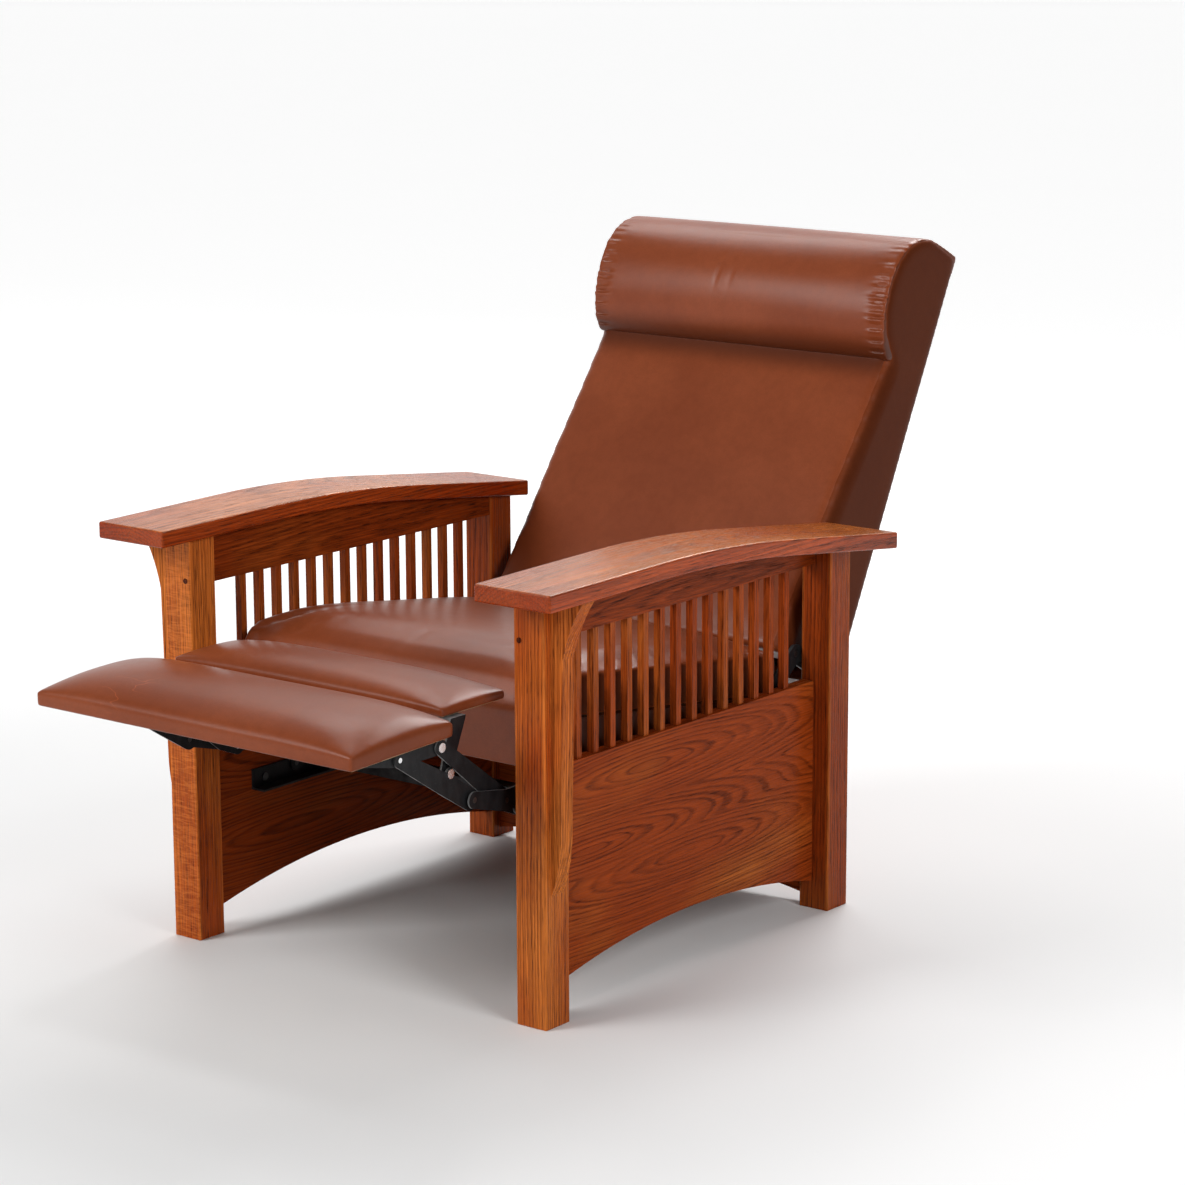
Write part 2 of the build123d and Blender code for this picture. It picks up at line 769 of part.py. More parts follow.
with BuildPart() as middle_board:
    board_half_width = middle_half_width - footrest_board_inset
    with BuildSketch(Plane.XY.offset(middle_bottom_height)):
        with Locations((0, mid_y - (middle_front + middle_rear) / 2)):
            Rectangle(2 * board_half_width, middle_length - 2 * footrest_board_inset)
    extrude(amount=middle_board_thickness)
save(middle_board, "middle_board")

# Footrest brackets: a flat plate on the two pivots with a flange under the board
footrest_drop = tan(radians(footrest_tilt))


def under_board(y):
    """A point on the footrest board's underside at a distance ahead of the middle."""
    return at(-y, footrest_bottom_height + (footrest_front - y) * footrest_drop)


with BuildPart() as footrest_brackets:
    for hand, name in hands:
        with BuildSketch(layer(hand, bracket_layer, steel)):
            with BuildLine():
                Polyline(
                    under_board(bracket_front), under_board(bracket_rear),
                    shifted(under_board(bracket_rear), 0, -steel),
                    shifted(footrest_rear_pivot, link_end_radius, 0),
                    shifted(footrest_rear_pivot, 0, -link_end_radius),
                    shifted(footrest_front_pivot, 0, -link_end_radius),
                    shifted(under_board(bracket_front), 0, -steel), close=True,
                )
            make_face()
            with Locations(footrest_rear_pivot):
                Circle(link_end_radius)
                Circle(running, mode=Mode.SUBTRACT)
            with Locations(footrest_front_pivot):
                Circle(open_pin_radius, mode=Mode.SUBTRACT)
        extrude(amount=steel)
        with BuildSketch(layer(hand, bracket_layer + steel, bracket_flange)):
            with BuildLine():
                Polyline(
                    under_board(bracket_front), under_board(bracket_rear),
                    shifted(under_board(bracket_rear), 0, -steel),
                    shifted(under_board(bracket_front), 0, -steel), close=True,
                )
            make_face()
        extrude(amount=bracket_flange)
save(footrest_brackets, "footrest_brackets")

with BuildPart() as middle_brackets:
    for hand, name in hands:
        flange_top = middle_bottom_height
        with BuildSketch(layer(hand, middle_layer, steel)):
            with Locations(middle_pivot):
                Circle(link_end_radius)
            with Locations(at(-(middle_bracket_front + middle_bracket_rear) / 2, flange_top - steel / 2)):
                Rectangle(middle_bracket_front - middle_bracket_rear, steel)
            make_hull()
            with Locations(middle_pivot):
                Circle(running, mode=Mode.SUBTRACT)
        extrude(amount=steel)
        with BuildSketch(layer(hand, middle_layer - middle_flange, middle_flange)):
            with Locations(at(-(middle_bracket_front + middle_bracket_rear) / 2, flange_top - steel / 2)):
                Rectangle(middle_bracket_front - middle_bracket_rear, steel)
        extrude(amount=middle_flange)
save(middle_brackets, "middle_brackets")

# Back, in its own side view: local x runs up the back and local y forward out of it
lean = radians(back_angle)
back_top = shifted(
    back_pivot,
    back_pivot_below_top * sin(lean) + back_pivot_ahead * cos(lean),
    back_pivot_below_top * cos(lean) - back_pivot_ahead * sin(lean),
)


def back_plane(offset):
    """The back's side view at an X place, with its origin at the upper rear edge."""
    return Plane(origin=(offset, *back_top), x_dir=(0, sin(lean), cos(lean)), z_dir=(1, 0, 0))


notch = (-notch_below_top, notch_depth)
roll_apex = (-roll_apex_below_top, roll_apex_depth)
front_bottom = (-back_length, back_bottom_depth)


def front_face():
    """The slightly crowned front of the back, from its lower edge to the crease under the roll."""
    ThreePointArc(front_bottom, (-back_length * back_crown_share - notch_below_top * (1 - back_crown_share),
                                 back_crown_depth), notch)


def roll_face():
    """The head roll's front, from the crease over the apex to the top edge."""
    under = (
        notch[0] + roll_under_share * (roll_apex[0] - notch[0]),
        notch[1] + roll_under_depth_share * (roll_apex[1] - notch[1]),
    )
    ThreePointArc(notch, under, roll_apex)
    ThreePointArc(roll_apex, (-roll_shoulder_below_top, roll_shoulder_depth), (0, roll_top_depth))


cushion_half = back_half_width - back_border
for hand, name in hands:
    with BuildPart() as back_border_piece:
        with BuildSketch(back_plane(cushion_half if hand > 0 else -back_half_width)):
            with BuildLine():
                Line((-back_length, 0), front_bottom)
                front_face()
                roll_face()
                Polyline((0, roll_top_depth), (0, 0), (-back_length, 0))
            make_face()
        extrude(amount=back_border)
    save(back_border_piece, f"back_border_{name}")

frame_depth = frame_wood + strap_thickness
with BuildPart() as back_cushion:
    with BuildSketch(back_plane(-cushion_half)):
        with BuildLine():
            Line((-back_length, frame_depth), front_bottom)
            front_face()
            Polyline(notch, (notch[0], frame_depth), (-back_length, frame_depth))
        make_face()
    extrude(amount=2 * cushion_half)
save(back_cushion, "back_cushion")

with BuildPart() as head_roll:
    with BuildSketch(back_plane(-cushion_half)):
        with BuildLine():
            Line((notch[0], frame_depth), notch)
            roll_face()
            Polyline(
                (0, roll_top_depth), (0, 0), (-frame_top_gap, 0), (-frame_top_gap, frame_depth),
                (notch[0], frame_depth),
            )
        make_face()
    extrude(amount=2 * cushion_half)
save(head_roll, "head_roll")

with BuildPart() as outside_back:
    with BuildSketch(back_plane(-back_half_width)):
        with BuildLine():
            Polyline((0, 0), (0, -back_cover), (-back_length, -back_cover), (-back_length, 0), close=True)
        make_face()
    extrude(amount=2 * back_half_width)
save(outside_back, "outside_back")

with BuildPart() as back_posts:
    for hand, name in hands:
        post_inner = cushion_half - frame_post_width
        with BuildSketch(back_plane(post_inner if hand > 0 else -cushion_half)):
            with BuildLine():
                Polyline(
                    (-frame_top_gap, 0), (-frame_top_gap, frame_wood), (-back_length, frame_wood),
                    (-back_length, 0), close=True,
                )
            make_face()
        extrude(amount=frame_post_width)
save(back_posts, "back_posts")

with BuildPart() as back_rails:
    rail_half = cushion_half - frame_post_width
    for low in (-frame_top_gap - frame_rail_width, -notch_below_top - frame_rail_width, -back_length):
        with BuildSketch(back_plane(-rail_half)):
            with BuildLine():
                Polyline(
                    (low, 0), (low + frame_rail_width, 0), (low + frame_rail_width, frame_wood),
                    (low, frame_wood), close=True,
                )
            make_face()
        extrude(amount=2 * rail_half)
save(back_rails, "back_rails")

with BuildPart() as back_straps:
    for n in range(strap_count):
        strap_u = -strap_first_below_top - n * strap_pitch
        with BuildSketch(back_plane(-cushion_half)):
            with BuildLine():
                Polyline(
                    (strap_u, frame_wood), (strap_u - strap_width, frame_wood),
                    (strap_u - strap_width, frame_depth), (strap_u, frame_depth), close=True,
                )
            make_face()
        extrude(amount=2 * cushion_half)
save(back_straps, "back_straps")

with BuildPart() as back_bottom_rail:
    with BuildSketch(back_plane(-arm_back_layer)):
        with BuildLine():
            Polyline(
                (-back_length, bottom_rail_set_in),
                (-back_length, bottom_rail_set_in + bottom_rail_depth),
                (-back_length - bottom_rail_height, bottom_rail_set_in + bottom_rail_depth),
                (-back_length - bottom_rail_height, bottom_rail_set_in), close=True,
            )
        make_face()
    extrude(amount=2 * arm_back_layer)
save(back_bottom_rail, "back_bottom_rail")

# Hinge arms run from the pivot back to the ends of the bottom rail
with BuildPart() as hinge_arms:
    rail_centre_u = -back_length - bottom_rail_height / 2
    far_v = bottom_rail_set_in + arm_plate_radius
    near_v = bottom_rail_set_in + bottom_rail_depth - arm_plate_radius
    ends = []
    for u, v in ((rail_centre_u, far_v), (rail_centre_u, near_v)):
        ends.append(shifted(back_top, u * sin(lean) - v * cos(lean), u * cos(lean) + v * sin(lean)))
    for hand, name in hands:
        round_bars(
            hand, arm_back_layer,
            [[(back_pivot, arm_plate_radius), (ends[0], arm_plate_radius), (ends[1], arm_plate_radius)]],
            [(back_pivot, hinge_pin_radius + pin_clearance)]
            + [(p, screw_radius) for p in ends],
        )
save(hinge_arms, "hinge_arms")

with BuildPart() as hinge_arm_screws:
    for hand, name in hands:
        for centre in ends:
            pin(hand, centre, arm_back_layer, arm_back_layer + steel, screw_radius)
save(hinge_arm_screws, "hinge_arm_screws")
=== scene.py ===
"""Looks of the mission reclining armchair: oak, leather, steel links, floor, lights and camera."""
from math import cos, radians, sin, tan

import bpy
import numpy as np
from mathutils import Matrix, Vector


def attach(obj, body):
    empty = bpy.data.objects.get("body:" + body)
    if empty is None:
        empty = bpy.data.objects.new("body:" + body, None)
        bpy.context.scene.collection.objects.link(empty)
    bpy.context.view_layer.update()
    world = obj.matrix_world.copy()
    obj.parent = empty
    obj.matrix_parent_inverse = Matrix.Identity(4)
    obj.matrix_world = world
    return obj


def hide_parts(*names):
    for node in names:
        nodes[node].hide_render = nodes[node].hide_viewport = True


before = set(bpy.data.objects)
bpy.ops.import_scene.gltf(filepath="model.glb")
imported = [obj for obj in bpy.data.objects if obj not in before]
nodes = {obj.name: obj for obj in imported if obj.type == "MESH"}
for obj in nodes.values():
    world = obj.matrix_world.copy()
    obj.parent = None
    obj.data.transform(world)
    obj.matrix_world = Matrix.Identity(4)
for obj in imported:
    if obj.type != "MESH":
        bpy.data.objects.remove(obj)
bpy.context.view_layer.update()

# Places that the soft pieces and the grain share with the solids, in metres
MID_Y = -0.040
POST_X, POST_Y = 0.320, 0.332
BACK_LEAN = radians(27.3)
BACK_PIVOT = (MID_Y + 0.300, 0.385)
BACK_TOP_ABOVE, BACK_TOP_BEHIND = 0.682, 0.148
BACK_TOP = (BACK_PIVOT[0] + BACK_TOP_ABOVE * sin(BACK_LEAN) + BACK_TOP_BEHIND * cos(BACK_LEAN),
            BACK_PIVOT[1] + BACK_TOP_ABOVE * cos(BACK_LEAN) - BACK_TOP_BEHIND * sin(BACK_LEAN))
BACK_HALF = 0.278
SEAT_SLOPE = tan(radians(7.6))
SEAT_FRONT = MID_Y - 0.268
SEAT_REAR = MID_Y + 0.258
SEAT_HALF = 0.2860
SEAT_RAIL_TOP = 0.400
PAD_SLOPE = radians(1.6)

# Where the back's front meets its foot and the head roll, as distances up the back and out of it
BACK_FOOT = (-0.688, 0.176)
BACK_NOTCH = (-0.199, 0.1015)
ROLL_CREASE = (-0.2070, 0.108)

# The cloth run that fills a cushion
FILL_PRESSURE = 4.0
FILL_FRAMES = 16

# Faces turned further sideways than this take a darker, duller copy of the leather: painted shade on a
# cushion's sides
SIDE_FACING = 0.60

# Camera, solved from the photo's perspective
CAMERA_PLACE = (3.12537, -3.84522, 1.57119)
CAMERA_AZIMUTH, CAMERA_HEIGHT, CAMERA_ROLL = radians(38.053), radians(12.38), radians(-0.231)
CAMERA_LENS, SENSOR_WIDTH = 106.17, 36.0

# The floor lies just under the feet, so that no faces coincide
FLOOR_SIZE, FLOOR_DROP = 60.0, 0.0005

# Colours
OAK_RED = (0.450, 0.070, 0.010)
OAK_GOLD = (0.700, 0.200, 0.034)
OAK_DARK = (0.080, 0.010, 0.002)
OAK_STAIN = (0.62, 0.26, 0.14)
OAK_SHEEN = (1.0, 0.84, 0.60, 1.0)
LEATHER_LOW = (0.205, 0.044, 0.0135)
LEATHER_HIGH = (0.245, 0.056, 0.0180)
RAW_PALE = (0.36, 0.235, 0.125)
RAW_WARM = (0.56, 0.405, 0.235)
RAW_DEEP = (0.30, 0.185, 0.10)
ENAMEL_LOW = (0.006, 0.006, 0.007)
ENAMEL_HIGH = (0.018, 0.018, 0.019)


def deselect():
    bpy.ops.object.select_all(action="DESELECT")


def activate(piece):
    deselect()
    piece.select_set(True)
    bpy.context.view_layer.objects.active = piece


def settle(piece):
    """Puts a piece's place into its mesh."""
    activate(piece)
    bpy.ops.object.transform_apply(location=True, rotation=True, scale=True)
    return piece


def apply_modifier(piece, kind, **settings):
    activate(piece)
    modifier = piece.modifiers.new(kind.lower(), kind)
    for key, value in settings.items():
        setattr(modifier, key, value)
    bpy.ops.object.modifier_apply(modifier=modifier.name)


# Materials
def spread(colour):
    """A colour or a single brightness as four numbers."""
    return (colour, colour, colour, 1.0) if isinstance(colour, (int, float)) else (*colour, 1.0)


def shaded(colour, share):
    """A colour made darker or paler."""
    return tuple(c * share for c in colour)


class Graph:
    """A material's node tree, with short calls to add and join nodes."""

    def __init__(self, name):
        self.material = bpy.data.materials.new(name)
        self.material.use_nodes = True
        self.tree = self.material.node_tree
        self.shader = self.tree.nodes["Principled BSDF"]
        self.coordinates = self.add("ShaderNodeTexCoord").outputs["Object"]

    def add(self, kind, inputs=None, **settings):
        """A new node, with values or links for its inputs, and its own settings."""
        made = self.tree.nodes.new(kind)
        for key, value in settings.items():
            setattr(made, key, value)
        for key, value in (inputs or {}).items():
            self.put(made.inputs[key], value)
        return made

    def put(self, socket, value):
        if isinstance(value, bpy.types.NodeSocket):
            self.tree.links.new(value, socket)
        else:
            socket.default_value = value

    def math(self, operation, a, b=0.0):
        return self.add("ShaderNodeMath", {0: a, 1: b}, operation=operation).outputs[0]

    def vector(self, operation, a, b):
        return self.add("ShaderNodeVectorMath", {0: a, 1: b}, operation=operation).outputs[0]

    def length(self, vector):
        return self.add("ShaderNodeVectorMath", {0: vector}, operation="LENGTH").outputs["Value"]

    def split(self, vector):
        """The three numbers of a vector."""
        return self.add("ShaderNodeSeparateXYZ", {0: vector}).outputs

    def facing(self):
        """The direction a surface faces, along the object's own axes."""
        return self.split(self.tree.nodes["Texture Coordinate"].outputs["Normal"])

    def placed(self, scale, rotation=(0, 0, 0), source=None):
        """Coordinates in which a pattern is drawn out or turned."""
        settings = {"Vector": source or self.coordinates, "Scale": scale, "Rotation": rotation}
        return self.add("ShaderNodeMapping", settings).outputs[0]

    def noise(self, source, scale, detail=2.0, roughness=0.5, distortion=0.0):
        settings = {"Vector": source, "Scale": scale, "Detail": detail, "Roughness": roughness,
                    "Distortion": distortion}
        return self.add("ShaderNodeTexNoise", settings).outputs[0]

    def ramp(self, value, *stops, smooth=False):
        """A value taken through stops of place and brightness."""
        made = self.add("ShaderNodeValToRGB", {0: value})
        elements = made.color_ramp.elements
        made.color_ramp.interpolation = "EASE" if smooth else "LINEAR"
        elements[0].position, elements[0].color = stops[0][0], spread(stops[0][1])
        elements[1].position, elements[1].color = stops[-1][0], spread(stops[-1][1])
        for position, colour in stops[1:-1]:
            elements.new(position).color = spread(colour)
        return made.outputs[0]

    def mix(self, share, a, b, blend="MIX"):
        """Two colours mixed. Inputs 6 and 7 of the node are its colours, and output 2 its result."""
        made = self.add("ShaderNodeMix", data_type="RGBA", blend_type=blend)
        self.put(made.inputs[0], share)
        self.put(made.inputs[6], a if isinstance(a, bpy.types.NodeSocket) else spread(a))
        self.put(made.inputs[7], b if isinstance(b, bpy.types.NodeSocket) else spread(b))
        return made.outputs[2]

    def bump(self, height, distance, strength, below=None):
        made = self.add("ShaderNodeBump", {"Height": height, "Distance": distance, "Strength": strength})
        if below is not None:
            self.put(made.inputs["Normal"], below)
        return made.outputs[0]

    def finish(self, **sockets):
        for key, value in sockets.items():
            self.put(self.shader.inputs[key.replace("_", " ")], value)
        return self.material


def year_rings(g, along, hearts, figure, wander, ring):
    """How far through its year the wood is, from 0 to 1, in long nested rings round the hearts.

    Slow noise pushes them about, which gives straight grain far out and arches near a heart.
    """
    # Where the rings of two hearts meet, they flow together over this length
    merging = 0.01
    radius = None
    for heart in hearts:
        length = g.length(along(figure, g.vector("SUBTRACT", g.coordinates, heart)))
        radius = length if radius is None else g.add(
            "ShaderNodeMath", {0: radius, 1: length, 2: merging}, operation="SMOOTH_MIN").outputs[0]
    slow = g.math("SUBTRACT", g.noise(along(0.16), 5.5, 3.0, 0.55), 0.5)
    ripple = g.math("SUBTRACT", g.noise(along(0.14), 60.0, 3.0, 0.6), 0.5)
    radius = g.math("ADD", radius, g.math("MULTIPLY", slow, wander))
    radius = g.math("ADD", radius, g.math("MULTIPLY", ripple, 0.0036))
    count = g.math("DIVIDE", radius, ring)
    uneven = g.add("ShaderNodeTexNoise", {"W": count, "Scale": 0.55, "Detail": 2.0},
                   noise_dimensions="1D").outputs[0]
    return g.math("FRACT", g.math("ADD", count, g.math("MULTIPLY", uneven, 1.6)))


def ray_flecks(g):
    """A fine pale ripple across the front, where quarter-sawn rays show."""
    across = g.placed((0.16, 0.16, 1.0), rotation=(0.0, 0.35, 0.0))
    rays = g.ramp(g.noise(across, 230.0, 2.0, 0.5, 1.2), (0.42, 0.0), (0.62, 1.0))
    front = g.math("GREATER_THAN", g.math("ABSOLUTE", g.facing()[1]), 0.7)
    return g.math("MULTIPLY", front, rays)


def painted_post_highlights(g, along, post):
    """A painted highlight, in patchy stretches along the four edges of an upright post."""
    place = g.split(g.coordinates)
    reach = [g.math("ABSOLUTE", g.math("SUBTRACT", place[i], post[i])) for i in (0, 1)]
    edge_highlight = g.ramp(g.math("MINIMUM", *reach), (0.0228, 0.0), (0.0246, 1.0))
    patchy_highlight = g.ramp(g.noise(along(0.2), 60.0, 3.0, 0.6), (0.35, 0.1), (0.62, 0.75))
    return g.math("MULTIPLY", edge_highlight, patchy_highlight)


def oak(name, grain, hearts, tone=1.0, gold=0.5, ring=0.0046, figure=0.055, wander=0.040, line=0.85,
        flecks=0.0, shine=0.10, post=None, red_sides=0.0, fibre=0.55, pore=0.50):
    """Stained open-grained oak. Grain is the axis along the board, and hearts where its rings close.

    Post is the place of an upright whose edges take a painted highlight, and red_sides deepens the
    faces that aren't level.
    """
    g = Graph(name)
    axis = "XYZ".index(grain)

    def along(share, source=None):
        return g.placed(tuple(share if i == axis else 1.0 for i in range(3)), source=source)

    year = year_rings(g, along, hearts, figure, wander, ring)
    early = g.ramp(year, (0.0, 1.0), (0.18, 0.90), (0.36, 0.10), (0.60, 0.0), (0.93, 0.0), (1.0, 0.9))
    strong = g.ramp(g.noise(along(0.25), 16.0, 3.0, 0.6), (0.32, 0.45), (0.56, 1.0))
    early = g.math("MULTIPLY", early, strong)
    late = g.ramp(year, (0.0, 0.0), (0.35, 0.0), (0.95, 0.30), (1.0, 0.0))
    # Pores lie as short dark dashes, mostly in the early wood
    pores = g.ramp(g.noise(along(0.035), 820.0, 2.0, 0.6), (0.50, 0.0), (0.62, 1.0))
    dashes = g.math("MULTIPLY", pores, g.math("ADD", g.math("MULTIPLY", early, 0.6), pore))
    fibres = g.ramp(g.noise(along(0.014), 420.0, 3.0, 0.6), (0.34, fibre), (0.64, 0.0))
    drift = g.noise(along(0.4), 6.0, 3.0, 0.5)
    golden_share = g.ramp(drift, (0.62 - gold * 0.5, 0.0), (0.98 - gold * 0.5, 1.0), smooth=True)

    red, golden, dark = (shaded(colour, tone) for colour in (OAK_RED, OAK_GOLD, OAK_DARK))
    body = g.mix(golden_share, red, golden)
    body = g.mix(fibres, body, dark)
    body = g.mix(late, body, dark)
    body = g.mix(g.math("MULTIPLY", early, line), body, dark)
    body = g.mix(g.math("MULTIPLY", dashes, 0.85), body, shaded(dark, 0.5))
    if flecks:
        body = g.mix(g.math("MULTIPLY", ray_flecks(g), flecks), body, shaded(golden, 1.15))
    if red_sides:
        upright = g.ramp(g.facing()[2], (0.55, 1.0), (0.85, 0.0))
        body = g.mix(g.math("MULTIPLY", upright, red_sides), body, OAK_STAIN, blend="MULTIPLY")
    # Painted highlight: the post's edges turn paler, in patchy stretches
    if post:
        body = g.mix(painted_post_highlights(g, along, post), body, shaded(golden, 1.25))
    depth = g.math("ADD", g.math("MULTIPLY", dashes, -1.0), g.math("MULTIPLY", early, -0.3))
    rough = g.math("ADD", 0.27, g.math("MULTIPLY", dashes, 0.25))
    return g.finish(Base_Color=body, Roughness=rough, Normal=g.bump(depth, 0.00015, 0.9), IOR=1.5,
                    Specular_IOR_Level=shine, Specular_Tint=OAK_SHEEN)


def painted_crease_shade(g, crease):
    """Painted shade round a fold, given as the fold's side-view place."""
    away = g.vector("SUBTRACT", g.coordinates, (0.0, *crease))
    away = g.vector("MULTIPLY", away, (0.0, 1.0, 1.0))
    return g.ramp(g.length(away), (0.001, 0.80), (0.046, 0.0), smooth=True)


def scratches(g, place):
    """A few thin wandering lines near a place."""
    paths = g.noise(g.placed((0.35, 1.0, 1.0), rotation=(0.0, 0.0, 0.5)), 46.0, 1.0, 0.5)
    lines = g.ramp(g.math("ABSOLUTE", g.math("SUBTRACT", paths, 0.5)), (0.0, 1.0), (0.010, 0.0))
    away = g.length(g.vector("SUBTRACT", g.coordinates, place))
    return g.math("MULTIPLY", lines, g.ramp(away, (0.028, 0.42), (0.052, 0.0), smooth=True))


def leather(name, tone=1.0, shine=0.22, ends=0.0, crease=None, scuff=None):
    """Smooth aniline leather: a fine pebble, faint clouding, and a soft shine.

    Ends darkens the faces to either side, as painted shade. Crease is the side-view place of a fold
    with painted shade round it, and scuff the place of a few pale scratches.
    """
    g = Graph(name)
    cloud = g.noise(g.coordinates, 7.0, 3.0, 0.5)
    mottle = g.noise(g.coordinates, 75.0, 4.0, 0.6)
    fine = g.noise(g.coordinates, 480.0, 3.0, 0.6)
    low, high = shaded(LEATHER_LOW, tone), shaded(LEATHER_HIGH, tone)
    body = g.mix(g.ramp(cloud, (0.30, 0.0), (0.70, 1.0), smooth=True), low, high)
    for pattern, start in ((mottle, 0.36), (fine, 0.40)):
        body = g.mix(g.ramp(pattern, (start, 0.14), (0.60, 0.0)), body, shaded(low, 0.55))
    # Painted shade: faces turned to either side are darkened
    if ends:
        sideways = g.ramp(g.math("ABSOLUTE", g.facing()[0]), (0.70, 0.0), (0.97, 1.0), smooth=True)
        body = g.mix(g.math("MULTIPLY", sideways, ends), body, shaded(low, 0.22))
    if crease:
        # Painted shade along the fold under the head roll
        body = g.mix(painted_crease_shade(g, crease), body, shaded(low, 0.25))
    if scuff:
        body = g.mix(scratches(g, scuff), body, shaded(high, 2.6))
    cells = g.add("ShaderNodeTexVoronoi", {"Vector": g.coordinates, "Scale": 620.0, "Randomness": 1.0},
                  feature="DISTANCE_TO_EDGE").outputs[0]
    pebble = g.ramp(cells, (0.0, 0.0), (0.28, 1.0))
    normal = g.bump(g.noise(g.coordinates, 30.0, 2.0, 0.5), 0.0007, 0.25)
    normal = g.bump(pebble, 0.00010, 0.30, below=normal)
    rough = g.math("ADD", 0.27, g.math("MULTIPLY", mottle, 0.10))
    return g.finish(Base_Color=body, Roughness=rough, Normal=normal, IOR=1.5, Specular_IOR_Level=shine)


def black_steel(name, edge_highlight):
    """Black enamelled steel, with pale specks, and a patchy painted highlight along the rims, as strong as
    the second argument.
    """
    g = Graph(name)
    smear = g.noise(g.placed((1, 1, 0.4)), 70.0, 4.0, 0.6)
    specks = g.ramp(g.noise(g.coordinates, 900.0, 2.0, 0.6), (0.66, 0.0), (0.74, 1.0))
    body = g.mix(g.ramp(smear, (0.35, 0.0), (0.75, 1.0)), ENAMEL_LOW, ENAMEL_HIGH)
    body = g.mix(g.math("MULTIPLY", specks, 0.25), body, (0.16, 0.16, 0.17))
    # Painted highlight: faces that don't face sideways, the plates' rims, turn pale in patches
    rim = g.ramp(g.math("ABSOLUTE", g.facing()[0]), (0.55, 1.0), (0.85, 0.0))
    patchy_highlight = g.ramp(g.noise(g.coordinates, 45.0, 3.0, 0.6), (0.38, 0.2 * edge_highlight), (0.60, edge_highlight))
    body = g.mix(g.math("MULTIPLY", rim, patchy_highlight), body, 0.22)
    rough = g.math("ADD", 0.24, g.math("MULTIPLY", smear, 0.22))
    return g.finish(Base_Color=body, Roughness=rough, Normal=g.bump(smear, 0.0004, 0.4),
                    Specular_IOR_Level=0.16)


def bright_steel(name, low, high, roughness):
    """Bare or plated steel, clouded between two brightnesses."""
    g = Graph(name)
    smear = g.noise(g.coordinates, 300.0, 3.0, 0.6)
    rough = g.math("ADD", roughness, g.math("MULTIPLY", smear, 0.15))
    return g.finish(Base_Color=g.mix(smear, low, high), Metallic=1.0, Roughness=rough,
                    Normal=g.bump(smear, 0.0001, 0.5))


def raw_wood(name, shade=1.0):
    """Unfinished hardwood, for rails and boards inside the covers."""
    g = Graph(name)
    streaks = g.noise(g.placed((0.06, 1, 1)), 260.0, 3.0, 0.6)
    patches = g.noise(g.placed((0.3, 1, 1)), 9.0, 2.0, 0.5)
    body = g.mix(streaks, shaded(RAW_PALE, shade), shaded(RAW_WARM, shade))
    body = g.mix(g.math("MULTIPLY", patches, 0.4), body, shaded(RAW_DEEP, shade))
    return g.finish(Base_Color=body, Roughness=0.72, Normal=g.bump(streaks, 0.0003, 0.6))


def webbing(name):
    """Black elastic webbing, woven across its length."""
    g = Graph(name)
    weave = g.add("ShaderNodeTexWave", {"Vector": g.coordinates, "Scale": 260.0, "Distortion": 0.4},
                  wave_type="BANDS", bands_direction="X").outputs["Fac"]
    threads = g.noise(g.placed((1, 0.1, 0.1)), 900.0, 2.0, 0.5)
    body = g.mix(weave, 0.012, (0.055, 0.052, 0.05))
    body = g.mix(g.math("MULTIPLY", threads, 0.4), body, (0.10, 0.095, 0.09))
    return g.finish(Base_Color=body, Roughness=0.9, Normal=g.bump(weave, 0.0005, 0.8))


def paint(material, *painted):
    """Gives a material to the solids with these names."""
    for node in painted:
        for spot in nodes[node].material_slots:
            spot.material = material


# Soft shapes
def on_back(u, v):
    """Side-view place of a point that lies u up the back and v forward out of it."""
    return (BACK_TOP[0] + u * sin(BACK_LEAN) - v * cos(BACK_LEAN),
            BACK_TOP[1] + u * cos(BACK_LEAN) + v * sin(BACK_LEAN))


def along_back(p):
    """Distances up the back and forward out of it, for each point."""
    y, z = p[:, 1] - BACK_TOP[0], p[:, 2] - BACK_TOP[1]
    return z * cos(BACK_LEAN) + y * sin(BACK_LEAN), z * sin(BACK_LEAN) - y * cos(BACK_LEAN)


def seat_line(y, above=0.0):
    """Height of the seat rails' top edge at a place, or of a line above it."""
    return SEAT_RAIL_TOP - SEAT_SLOPE * (y - SEAT_FRONT) + above


def ramp_up(values, low, high):
    """0 below low, 1 above high, and a smooth rise between them."""
    t = np.clip((values - low) / (high - low), 0, 1)
    return t * t * (3 - 2 * t)


def any_of(*holds):
    """The firmest of some holds, between 0 and 1."""
    return np.clip(np.maximum.reduce(holds), 0, 1)


def read_points(piece):
    points = np.empty(len(piece.data.vertices) * 3)
    piece.data.vertices.foreach_get("co", points)
    return points.reshape(-1, 3)


def write_points(piece, points):
    piece.data.vertices.foreach_set("co", points.ravel())
    piece.data.update()


def block(name, outline, half_width):
    """A solid with this side-view outline, as wide as twice the half width."""
    deselect()
    bpy.ops.mesh.primitive_circle_add(vertices=len(outline), radius=1.0, fill_type="NGON")
    piece = bpy.context.object
    piece.name = piece.data.name = name
    for vertex, (y, z) in zip(piece.data.vertices, outline):
        vertex.co = (-half_width, y, z)
    bpy.ops.object.mode_set(mode="EDIT")
    bpy.ops.mesh.select_all(action="SELECT")
    bpy.ops.mesh.extrude_region_move(TRANSFORM_OT_translate={"value": (2 * half_width, 0, 0)})
    bpy.ops.mesh.select_all(action="SELECT")
    bpy.ops.mesh.normals_make_consistent(inside=False)
    bpy.ops.object.mode_set(mode="OBJECT")
    return settle(piece)


def weigh(piece, name, weights):
    """Adds a vertex group with one weight for each vertex."""
    group = piece.vertex_groups.new(name=name)
    levels = np.round(weights, 2)
    for level in np.unique(levels):
        if level > 0:
            group.add(np.flatnonzero(levels == level).tolist(), float(level), "REPLACE")


